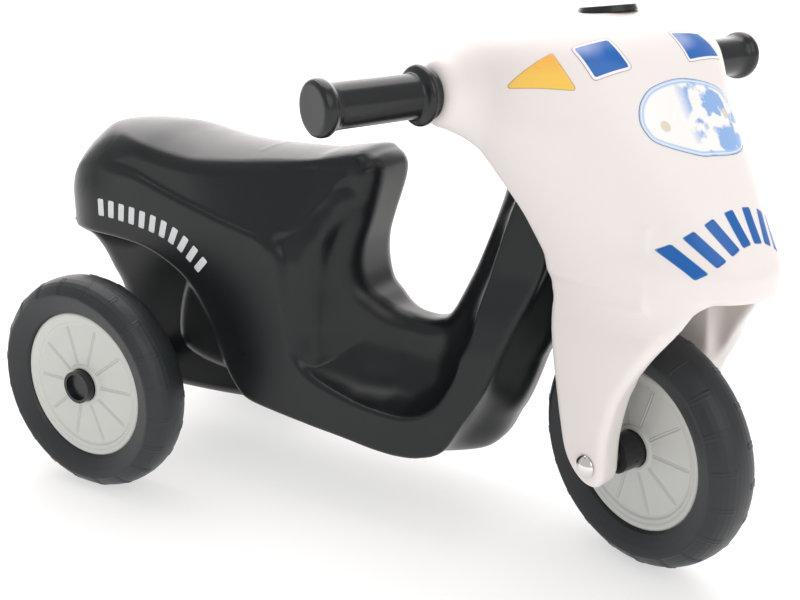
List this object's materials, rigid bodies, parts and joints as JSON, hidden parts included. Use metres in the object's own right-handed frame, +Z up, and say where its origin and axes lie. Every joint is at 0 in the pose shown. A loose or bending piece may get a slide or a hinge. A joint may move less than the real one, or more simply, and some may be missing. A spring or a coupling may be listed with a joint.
{
  "type": "three-wheel ride-on toy scooter",
  "caption": "Child's ride-on scooter: black blow-moulded body on rear wheels, white steered front shield and fork with handlebar and front wheel.",
  "frame": {"origin": "on the floor under the centre of the whole toy's box, with the steering at its rest pose of 25 degrees to the rider's right", "axes": "+X forwards along the body, +Y to the rider's left, +Z up"},
  "size_m": [0.6146, 0.3736, 0.3875],
  "materials": {
    "body_plastic": "satin blow-moulded, fine grain",
    "shield_plastic": "semi-gloss blow-moulded",
    "rim_plastic": "matt moulded",
    "tyre_rubber": "satin moulded with tread grooves",
    "grip_plastic": "satin",
    "black_trim": "satin",
    "bush_plastic": "plain nylon",
    "steel": "plain turned",
    "chrome": "bright",
    "sticker_white": "printed film",
    "sticker_blue": "printed film",
    "sticker_orange": "printed film",
    "sticker_lens": "printed film"
  },
  "bodies": {
    "frame": {"body_shell": "body_plastic", "lower_steering_bush": "bush_plastic", "upper_steering_bush": "bush_plastic", "rear_axle": "steel", "rear_spacer_left": "black_trim", "rear_spacer_right": "black_trim", "rear_axle_cap_left": "black_trim", "rear_axle_cap_right": "black_trim"},
    "fork": {"front_shield_fork": "shield_plastic", "steering_pin": "steel", "steering_top_cap": "black_trim", "lower_thrust_washer": "bush_plastic", "upper_thrust_washer": "bush_plastic", "handlebar_tube": "steel", "grip_left": "grip_plastic", "grip_right": "grip_plastic", "front_axle": "steel", "front_axle_cap_left": "chrome", "front_axle_cap_right": "chrome"},
    "front_wheel": {"front_tyre": "tyre_rubber", "front_rim_left": "rim_plastic", "front_rim_right": "rim_plastic", "front_hub_bush": "black_trim"},
    "rear_wheel_left": {"rear_tyre_left": "tyre_rubber", "rear_rim_outer_left": "rim_plastic", "rear_rim_inner_left": "rim_plastic", "rear_hub_bush_left": "black_trim"},
    "rear_wheel_right": {"rear_tyre_right": "tyre_rubber", "rear_rim_outer_right": "rim_plastic", "rear_rim_inner_right": "rim_plastic", "rear_hub_bush_right": "black_trim"}
  },
  "joints": [
    {"name": "steering", "type": "hinge", "parent": "frame", "child": "fork", "pos_m": [0.19552, -0.02207, 0.088], "axis": [-0.0872, 0, 0.9962], "range_deg": [-5, 55]},
    {"name": "front_wheel_spin", "type": "hinge", "parent": "fork", "child": "front_wheel", "pos_m": [0.21768, -0.03237, 0.08823], "axis": [0.421, 0.9063, 0.0368], "continuous": true},
    {"name": "rear_wheel_left_spin", "type": "hinge", "parent": "frame", "child": "rear_wheel_left", "pos_m": [-0.20735, 0.09693, 0.088], "axis": [0, 1, 0], "continuous": true},
    {"name": "rear_wheel_right_spin", "type": "hinge", "parent": "frame", "child": "rear_wheel_right", "pos_m": [-0.20735, -0.14107, 0.088], "axis": [0, 1, 0], "continuous": true}
  ]
}
